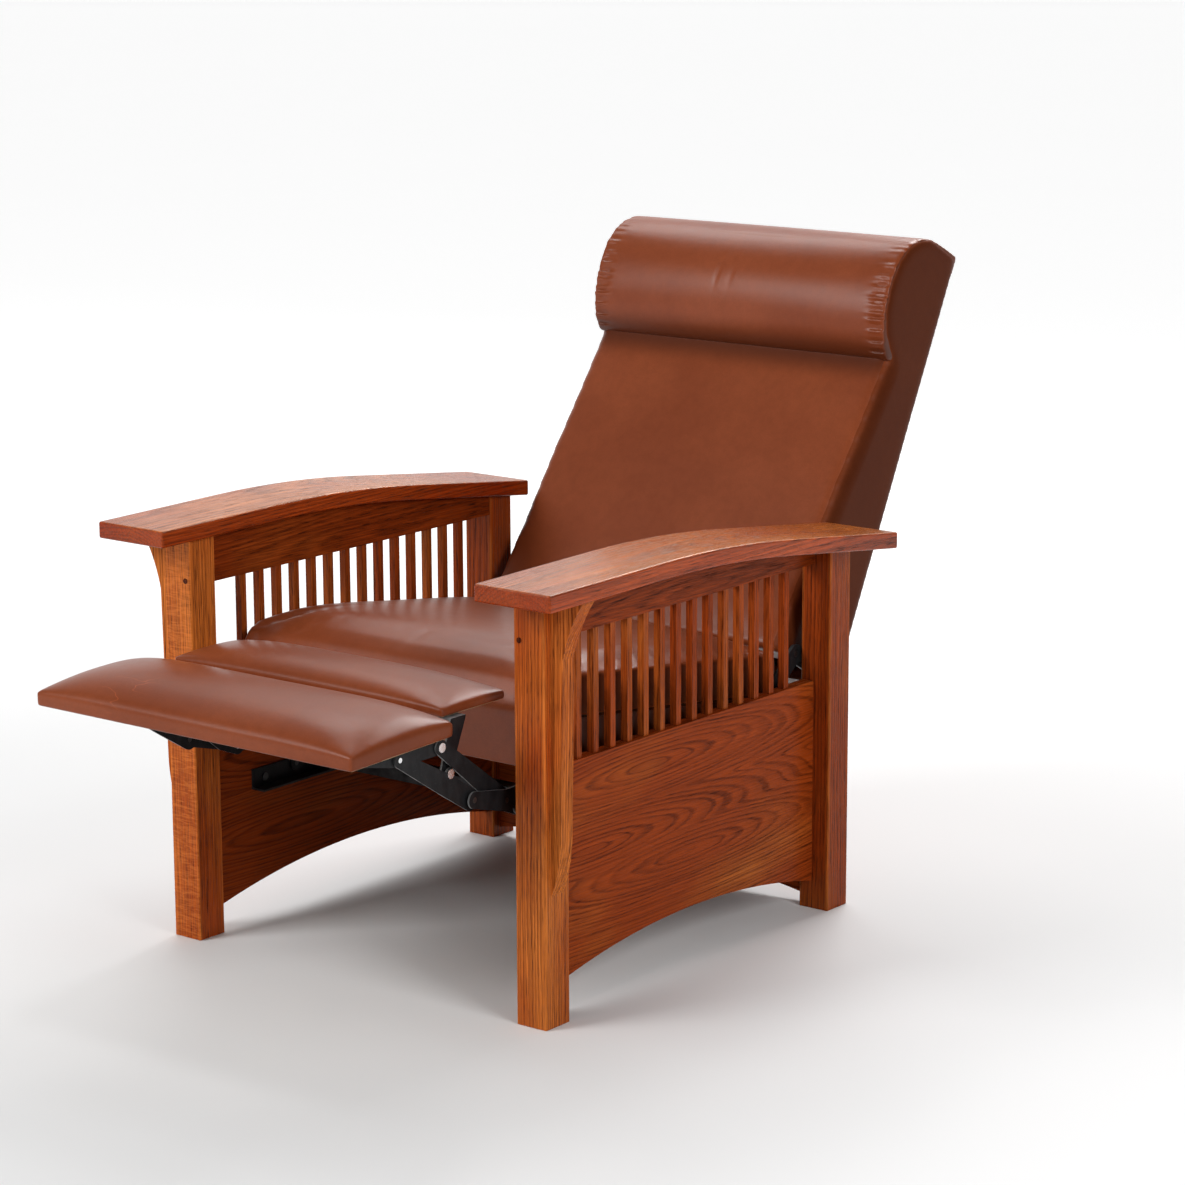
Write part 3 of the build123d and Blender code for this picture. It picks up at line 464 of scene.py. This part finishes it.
def add_cloth(piece):
    """Cloth that swells under pressure, held where the group named held says so."""
    cloth = piece.modifiers.new("fill", "CLOTH")
    cloth.settings.quality = 4
    cloth.settings.mass = 0.35
    cloth.settings.tension_stiffness = cloth.settings.compression_stiffness = 16.0
    cloth.settings.shear_stiffness = 8.0
    cloth.settings.bending_stiffness = 1.2
    cloth.settings.use_pressure = True
    cloth.settings.uniform_pressure_force = FILL_PRESSURE
    cloth.settings.vertex_group_mass = "held"
    cloth.settings.effector_weights.gravity = 0.0
    cloth.collision_settings.use_collision = False
    return cloth


def blow_up(piece, hold, cap, sideways):
    """Swells a cover by a cloth run. No point moves further than cap, or than sideways to either side."""
    start = read_points(piece)
    weigh(piece, "held", hold(start))
    cloth = add_cloth(piece)
    scene = bpy.context.scene
    for step in range(1, FILL_FRAMES + 1):
        scene.frame_set(step)
    seen = piece.evaluated_get(bpy.context.evaluated_depsgraph_get())
    move = read_points(seen) - start
    piece.modifiers.remove(cloth)
    scene.frame_set(1)
    far = np.linalg.norm(move, axis=1, keepdims=True)
    move *= np.minimum(1.0, cap * np.tanh(far / cap) / np.maximum(far, 1e-9))
    move[:, 0] = np.clip(move[:, 0], -sideways, sideways)
    write_points(piece, start + move)
    piece.vertex_groups.clear()


def stuff(piece, hold, voxel, cap, sideways, rounding=4, polish=2, crown=None):
    """Fills a block like a cushion.

    Hold gives 1 for points where the cover is fixed and 0 where it's free to swell. Crown shapes the
    block before its edges are rounded.
    """
    activate(piece)
    piece.data.remesh_voxel_size = voxel
    piece.data.use_remesh_fix_poles = True
    bpy.ops.object.voxel_remesh()
    if crown:
        crown(piece)
    apply_modifier(piece, "SMOOTH", factor=0.5, iterations=rounding)
    blow_up(piece, hold, cap, sideways)
    apply_modifier(piece, "SMOOTH", factor=0.5, iterations=polish)
    apply_modifier(piece, "SUBSURF", levels=1, render_levels=1)
    activate(piece)
    bpy.ops.object.shade_smooth()


def dome(piece, centre, half, height, power, share):
    """Raises a piece's upper side in a flat-topped dome.

    Centre and half are X and Y places and reaches, and share says how much of the rise a point takes.
    """
    p = read_points(piece)
    x = np.clip(np.abs(p[:, 0] - centre[0]) / half[0], 0, 1)
    y = np.clip(np.abs(p[:, 1] - centre[1]) / half[1], 0, 1)
    lift = height * (1 - x ** power[0]) ** 0.75 * (1 - y ** power[1]) ** 0.75
    p[:, 2] += lift * share(p)
    write_points(piece, p)


def dress(piece, material, body, *replaced, fill, sides=None):
    """Gives a piece its leather, and its sides a darker, duller copy as painted shade, and hands it to the
    body that carries it.
    """
    piece.data.materials.clear()
    piece.data.materials.append(material)
    if sides:
        piece.data.materials.append(sides)
        for face in piece.data.polygons:
            face.material_index = int(abs(face.normal.x) > SIDE_FACING)
    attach(piece, body)
    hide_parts(*replaced)


def make_seat(material, sides):
    """Seat cushion with a rolled front that runs down over the front rail."""
    front = SEAT_FRONT - 0.0040
    behind = SEAT_FRONT + 0.0185
    foot = SEAT_RAIL_TOP - 0.0735
    # Places along the seat, each with its height above the rails
    underside = [(behind, 0.0015), (SEAT_REAR, 0.0015)]
    rear_edge = [(SEAT_REAR, 0.054), (SEAT_REAR - 0.008, 0.060)]
    rolled_front = [(front + 0.080, 0.062), (front + 0.036, 0.059), (front + 0.013, 0.047),
                    (front + 0.002, 0.026), (front, 0.010)]
    around = [(y, seat_line(y, above)) for y, above in underside + rear_edge + rolled_front]
    piece = block("seat_cover", [(front, foot), (behind, foot)] + around, SEAT_HALF)

    def hold(p):
        """Fixed along the rails and at the rear, with some play left in the front apron."""
        under = 1 - ramp_up(p[:, 2] - seat_line(p[:, 1]), 0.004, 0.020)
        rear = ramp_up(p[:, 1], SEAT_REAR - 0.010, SEAT_REAR - 0.001)
        apron = (p[:, 1] < SEAT_FRONT + 0.012) * ramp_up(p[:, 2], 0.345, 0.385)
        return any_of(under - 0.6 * apron, rear)

    def crown(target):
        near, far = SEAT_FRONT - 0.004, SEAT_REAR + 0.050
        dome(target, (0.0, (near + far) / 2), (0.292, (far - near) / 2), 0.018, (5.0, 4.5),
             lambda p: ramp_up(p[:, 2] - seat_line(p[:, 1]), 0.010, 0.040))

    stuff(piece, hold, voxel=0.0065, cap=0.012, sideways=0.0012, rounding=5, crown=crown)
    dress(piece, material, "seat", "seat_cushion", "seat_band", fill=0.8, sides=sides)


def make_pad(name, body, replaced, material, front, rear, bottom, edge, crown_height, fullness, half_width,
             slope=0.0):
    """A boxed pad: upright sides of the edge's height, and a domed top that falls away to all sides."""
    length = rear - front
    low, high = bottom + 0.0012, bottom + edge
    corners = [(0, 0), (length, 0), (length, high - low), (0, high - low)]
    outline = [(front + a * cos(slope) - b * sin(slope), low + a * sin(slope) + b * cos(slope))
               for a, b in corners]
    piece = block(name, outline, half_width)
    middle = (0.0, (front + rear) / 2)

    def rise(p):
        """Height above the pad's underside, which leans with its board."""
        return (p[:, 2] - bottom) - (p[:, 1] - front) * tan(slope)

    def hold(p):
        """Fixed underneath, and nearly so round the upright sides."""
        ends = ramp_up(np.abs(p[:, 0]), half_width - 0.010, half_width - 0.004)
        edges = ramp_up(np.abs(p[:, 1] - middle[1]), length / 2 - 0.010, length / 2 - 0.004)
        return any_of(1 - ramp_up(rise(p), 0.004, edge - 0.002), 0.85 * ends, 0.85 * edges)

    def crown(target):
        dome(target, middle, (half_width + 0.002, length / 2 + 0.002), crown_height, (fullness, 2.6),
             lambda p: ramp_up(rise(p), edge * 0.45, edge * 0.95))

    stuff(piece, hold, voxel=0.0045, cap=0.006, sideways=0.0015, rounding=2, polish=4, crown=crown)
    dress(piece, material, body, replaced, fill=0.7)


def make_back(material, sides):
    """Back cushion with its flat sides and rear, which follow the head roll's end in outline."""
    rear_and_top = [(-0.675, -0.0030), (-0.020, -0.0030), (-0.002, 0.0000), (-0.001, 0.076)]
    roll_end = [(-0.012, 0.104), (-0.032, 0.128), (-0.064, 0.145), (-0.105, 0.1515), (-0.145, 0.146),
                (-0.176, 0.129), BACK_NOTCH]
    front = [(-0.300, 0.118), (-0.420, 0.140), (-0.540, 0.158), (-0.640, 0.176), (-0.683, 0.184)]
    foot_end = [BACK_FOOT, (BACK_FOOT[0], 0.110), (-0.675, 0.090)]
    around = rear_and_top + roll_end + front + foot_end
    half = BACK_HALF - 0.0004
    piece = block("back_cover", [on_back(u, v) for u, v in around], half)

    def hold(p):
        """Fixed beside the roll and behind, and nearly so at the foot and the side edges."""
        u, v = along_back(p)
        above = ramp_up(u, -0.245, -0.205)
        behind = 1 - ramp_up(v, 0.030, 0.075)
        foot = 1 - ramp_up(u, -0.684, -0.655)
        ends = ramp_up(np.abs(p[:, 0]), half - 0.030, half - 0.006)
        return any_of(above, behind, 0.6 * foot, 0.9 * ends)

    def round_edges(target):
        """Rounds the front's side edges, up to where the roll begins."""
        p = read_points(target)
        u, v = along_back(p)
        radius = 0.024
        face = np.interp(u, [-0.675, -0.300, BACK_NOTCH[0]], [0.182, 0.118, BACK_NOTCH[1]])
        over = np.clip((np.abs(p[:, 0]) - (half - radius)) / radius, 0, 1)
        drop = radius * (1 - np.sqrt(1 - over ** 2)) * ramp_up(v, face - 2.2 * radius, face)
        drop *= 1 - ramp_up(u, -0.212, -0.190)
        write_points(target, p + drop[:, None] * np.array([0.0, cos(BACK_LEAN), -sin(BACK_LEAN)]))

    stuff(piece, hold, voxel=0.0072, cap=0.016, sideways=0.0010, polish=4, crown=round_edges)
    dress(piece, material, "back", "back_cushion", "back_border_left", "back_border_right", "outside_back",
          fill=0.8, sides=sides)


def gather_ends(piece, half):
    """Gathers the leather along the end seams, deepest under the roll, and puckers it near the middle."""
    p = read_points(piece)
    u, v = along_back(p)
    # The folds fan out from a point inside the roll, in a narrow band at each end
    angle = np.arctan2(v - 0.055, u + 0.120)
    band = np.exp(-((np.abs(p[:, 0]) - (half - 0.014)) / 0.0130) ** 2)
    seen = ramp_up(v, 0.090, 0.125) * (0.20 + 0.80 * (1 - ramp_up(u, -0.140, -0.060)))
    folds = np.sin(angle * 42 + 2.2 * np.sin(angle * 7)) + 0.5 * np.sin(angle * 71 + 1.3)
    push = -0.0024 * band * seen * (folds + 0.6)
    # Two puckers, each with its place from side to side and its depth
    for place, depth in ((-0.040, 0.0009), (-0.014, 0.0006)):
        across = np.exp(-((p[:, 0] - place - 0.10 * (u + 0.11)) / 0.0045) ** 2)
        push -= depth * across * np.exp(-((u + 0.105) / 0.024) ** 2) * ramp_up(v, 0.10, 0.13)
    write_points(piece, p + push[:, None] * np.array([0.0, -cos(BACK_LEAN), sin(BACK_LEAN)]))


def make_head_roll(material):
    """Head roll that laps over the top edge, gathered where it's sewn to the sides."""
    underside = [(-0.2075, 0.094), (-0.2070, 0.106)]
    face = [(-0.192, 0.125), (-0.165, 0.141), (-0.135, 0.150), (-0.105, 0.1525), (-0.075, 0.150),
            (-0.048, 0.140), (-0.027, 0.124), (-0.011, 0.102), (-0.001, 0.074)]
    lap = [(0.0015, 0.030), (0.0015, -0.0045), (-0.028, -0.0045), (-0.028, 0.030), (-0.180, 0.060)]
    half = BACK_HALF - 0.0035
    piece = block("head_roll_cover", [on_back(u, v) for u, v in underside + face + lap], half)

    def hold(p):
        """Fixed at the ends, along the crease, and where the roll is hidden behind."""
        u, v = along_back(p)
        ends = ramp_up(np.abs(p[:, 0]), half - 0.012, half - 0.001)
        crease = 1 - ramp_up(u, -0.207, -0.198)
        hidden = 1 - ramp_up(v, 0.020, 0.060)
        return any_of(ends, crease, hidden)

    stuff(piece, hold, voxel=0.0050, cap=0.009, sideways=0.001)
    gather_ends(piece, half)
    dress(piece, material, "back", "head_roll", fill=0.9)


# Stage
def make_camera():
    data = bpy.data.cameras.new("camera")
    data.lens, data.sensor_width = CAMERA_LENS, SENSOR_WIDTH
    data.clip_start, data.clip_end = 0.1, 100.0
    camera = bpy.data.objects.new("camera", data)
    bpy.context.scene.collection.objects.link(camera)
    back = Vector((sin(CAMERA_AZIMUTH) * cos(CAMERA_HEIGHT), -cos(CAMERA_AZIMUTH) * cos(CAMERA_HEIGHT),
                   sin(CAMERA_HEIGHT)))
    right = Vector((cos(CAMERA_AZIMUTH), sin(CAMERA_AZIMUTH), 0.0))
    up = back.cross(right)
    turned_right = cos(CAMERA_ROLL) * right + sin(CAMERA_ROLL) * up
    turned_up = cos(CAMERA_ROLL) * up - sin(CAMERA_ROLL) * right
    camera.matrix_world = Matrix.Translation(CAMERA_PLACE) @ Matrix(
        (turned_right, turned_up, back)).transposed().to_4x4()
    bpy.context.scene.camera = camera


def softbox(name, place, target, size, power):
    data = bpy.data.lights.new(name, "AREA")
    data.shape, data.size, data.size_y = "RECTANGLE", size[0], size[1]
    data.energy = power
    lamp = bpy.data.objects.new(name, data)
    bpy.context.scene.collection.objects.link(lamp)
    lamp.location = place
    lamp.rotation_mode = "QUATERNION"
    lamp.rotation_quaternion = (Vector(target) - Vector(place)).to_track_quat("-Z", "Y")


def pale_floor():
    """A near-white floor that glows more with distance, so that it fades into the room."""
    g = Graph("pale_floor")
    tint = g.mix(g.noise(g.coordinates, 0.8, 2.0), 0.79, 0.82)
    away = g.math("MULTIPLY", g.length(g.coordinates), 0.1)
    glow = g.ramp(away, (0.08, 0.0), (0.45, 0.66), smooth=True)
    return g.finish(Base_Color=tint, Roughness=0.7, Emission_Color=spread(1.0), Emission_Strength=glow)


def make_floor():
    deselect()
    bpy.ops.mesh.primitive_plane_add(size=FLOOR_SIZE, location=(0, 0, -FLOOR_DROP))
    floor = settle(bpy.context.object)
    floor.name = "studio_floor"
    floor.data.materials.append(pale_floor())


def light_studio():
    """A dim room with a bright wall behind the chair, which the level surfaces mirror."""
    world = bpy.data.worlds.new("studio")
    bpy.context.scene.world = world
    world.use_nodes = True
    parts, links = world.node_tree.nodes, world.node_tree.links
    where = parts.new("ShaderNodeTexCoord")
    facing = parts.new("ShaderNodeVectorMath")
    facing.operation = "DOT_PRODUCT"
    facing.inputs[1].default_value = (-sin(CAMERA_AZIMUTH), cos(CAMERA_AZIMUTH), 0.0)
    wall = parts.new("ShaderNodeValToRGB")
    wall.color_ramp.interpolation = "EASE"
    for element, (position, brightness) in zip(wall.color_ramp.elements, ((0.45, 0.20), (0.92, 1.10))):
        element.position, element.color = position, spread(brightness)
    links.new(where.outputs["Generated"], facing.inputs[0])
    links.new(facing.outputs["Value"], wall.inputs[0])
    # Seen directly, the room is as pale as the floor
    pale = parts.new("ShaderNodeMix")
    pale.data_type = "RGBA"
    pale.inputs[7].default_value = spread(0.95)
    links.new(parts.new("ShaderNodeLightPath").outputs["Is Camera Ray"], pale.inputs[0])
    links.new(wall.outputs[0], pale.inputs[6])
    links.new(pale.outputs[2], parts["Background"].inputs[0])
    parts["Background"].inputs[1].default_value = 1.0


def make_stage():
    make_camera()
    make_floor()
    light_studio()
    softbox("key", (-2.2, -4.2, 3.0), (0, 0, 0.5), (2.2, 2.2), 175.0)
    softbox("side", (4.4, -1.2, 2.6), (0, 0, 0.5), (1.8, 1.8), 105.0)
    softbox("rear", (-0.3, 3.0, 3.0), (0, -0.2, 0.5), (2.2, 0.9), 95.0)
    softbox("overhead", (-1.9, 1.6, 3.3), (0, 0.6, 0.9), (1.6, 0.8), 26.0)
    bpy.context.scene.view_settings.view_transform = "Standard"


# The chair
def finish_side(hand, name):
    """Oak for one side. Each board has its own hearts, so that no two pieces share a figure."""
    post_x = hand * POST_X
    near_side = hand > 0
    paint(oak(f"oak_front_leg_{name}", "Z", [(post_x + hand * 0.10, MID_Y - 0.46, 0.2)], gold=0.58,
              ring=0.0036, flecks=0.0 if near_side else 0.26, line=0.60 if near_side else 0.35,
              wander=0.030, tone=1.08, post=(post_x, MID_Y - POST_Y)), f"front_leg_{name}")
    paint(oak(f"oak_back_leg_{name}", "Z", [(post_x - 0.09, MID_Y + 0.44, 0.1)], gold=0.25, tone=0.80,
              line=0.6, ring=0.0040, post=(post_x, MID_Y + POST_Y)), f"back_leg_{name}")
    paint(oak(f"oak_arm_{name}", "Y", [(hand * 0.36, MID_Y + 0.1, 0.50 + 0.05 * hand)], gold=0.70,
              ring=0.0046, line=0.45, shine=0.27, red_sides=0.9, tone=1.05), f"arm_{name}")
    paint(oak(f"oak_rail_{name}", "Y", [(hand * 0.330, MID_Y + 0.05, 0.535)], gold=0.20, tone=0.70,
              figure=0.08, ring=0.0050, shine=0.06, line=0.55), f"upper_rail_{name}")
    paint(oak(f"oak_spindles_{name}", "Z", [(hand * 0.36, MID_Y + 0.2, 0.4)], gold=0.35, tone=0.86,
              ring=0.0030, shine=0.06, line=0.40, wander=0.015), f"spindles_{name}")
    paint(oak(f"oak_corbel_{name}", "Z", [(post_x + hand * 0.16, MID_Y - 0.5, 0.35)], gold=0.75,
              tone=1.12, ring=0.0032, line=0.65, shine=0.05), f"corbel_{name}")


def finish_panels():
    """Broad flat-sawn boards, whose arches show round the hearts."""
    flat_sawn = {"figure": 0.12, "ring": 0.0052, "wander": 0.014, "line": 0.60, "shine": 0.045,
                 "fibre": 0.36, "pore": 0.18}
    right_hearts = [(0.313, -0.1346, 0.306), (0.312, -0.265, 0.215), (0.311, -0.037, 0.161)]
    left_hearts = [(-0.312, -0.190, 0.130), (-0.311, 0.060, 0.260)]
    paint(oak("oak_panel_right", "Y", right_hearts, gold=0.20, tone=0.76, **flat_sawn), "side_panel_right")
    paint(oak("oak_panel_left", "Y", left_hearts, gold=0.16, tone=0.62, **flat_sawn), "side_panel_left")
    paint(oak("oak_rear_panel", "X", [(0.05, 0.272, 0.17)], gold=0.3, tone=0.72, **flat_sawn), "rear_panel")


def finish_wood():
    finish_side(-1, "left")
    finish_side(1, "right")
    finish_panels()
    paint(oak("oak_pegs", "Y", [(0.1, 0.0, 0.5)], gold=0.1, tone=0.30), "leg_pegs")
    paint(oak("oak_back_bottom_rail", "X", [(0.0, 0.5, 0.30)], gold=0.1, tone=0.30, shine=0.04),
          "back_bottom_rail")
    paint(raw_wood("stained_hardwood", shade=0.12), "seat_rear_rail")
    paint(raw_wood("raw_hardwood"), "seat_front_rail", "back_posts", "back_rails", "footrest_board",
          "middle_board")


def finish_steel():
    paint(black_steel("black_enamel", edge_highlight=0.8), "link_plate_left", "link_plate_right", "front_links",
          "rear_links", "upper_links", "lower_links", "footrest_brackets", "middle_brackets")
    paint(black_steel("dull_black_enamel", edge_highlight=0.1), "base_rail_left", "base_rail_right", "base_tubes",
          "swing_links_front", "swing_links_rear", "seat_plate_left", "seat_plate_right", "torque_tube",
          "hinge_arms")
    paint(bright_steel("zinc_rivet", 0.70, 0.95, 0.14), "upper_link_pins", "lower_link_pins")
    paint(bright_steel("blackened_rivet", 0.06, 0.14, 0.30), "base_screws", "base_pins", "seat_pins",
          "front_link_pins", "hinge_arm_screws")
    paint(bright_steel("spring_wire", 0.16, 0.30, 0.35), "seat_springs")


def finish_straps_and_sides():
    paint(webbing("woven_webbing"), "back_straps")
    paint(leather("leather_box_side", tone=0.30, shine=0.15), "seat_side_rail_left", "seat_side_rail_right")


def make_cushions():
    # The copies of the leather for the sides are darker, as painted shade
    make_seat(leather("leather_seat", tone=1.02, shine=0.23, ends=0.75),
              leather("leather_seat_painted_shade", tone=0.84, shine=0.06, ends=0.75))
    back_leather = leather("leather_back", tone=1.06, ends=0.66, crease=on_back(*ROLL_CREASE))
    make_back(back_leather, leather("leather_back_painted_shade", tone=0.78, shine=0.03, ends=0.66))
    make_head_roll(back_leather)
    pad_leather = leather("leather_pads", tone=0.96, shine=0.16, ends=0.25, scuff=(-0.140, -0.668, 0.448))
    make_pad("footrest_cover", "footrest", "footrest_pad", pad_leather, front=MID_Y - 0.6670,
             rear=MID_Y - 0.4675, bottom=0.4125, edge=0.0215, crown_height=0.0310, fullness=6.0,
             half_width=0.2850, slope=PAD_SLOPE)
    make_pad("middle_cover", "middle_rest", "middle_pad", pad_leather, front=MID_Y - 0.4450,
             rear=MID_Y - 0.3130, bottom=0.4320, edge=0.0135, crown_height=0.0220, fullness=3.4,
             half_width=0.2450)


make_stage()
finish_wood()
finish_steel()
finish_straps_and_sides()
make_cushions()
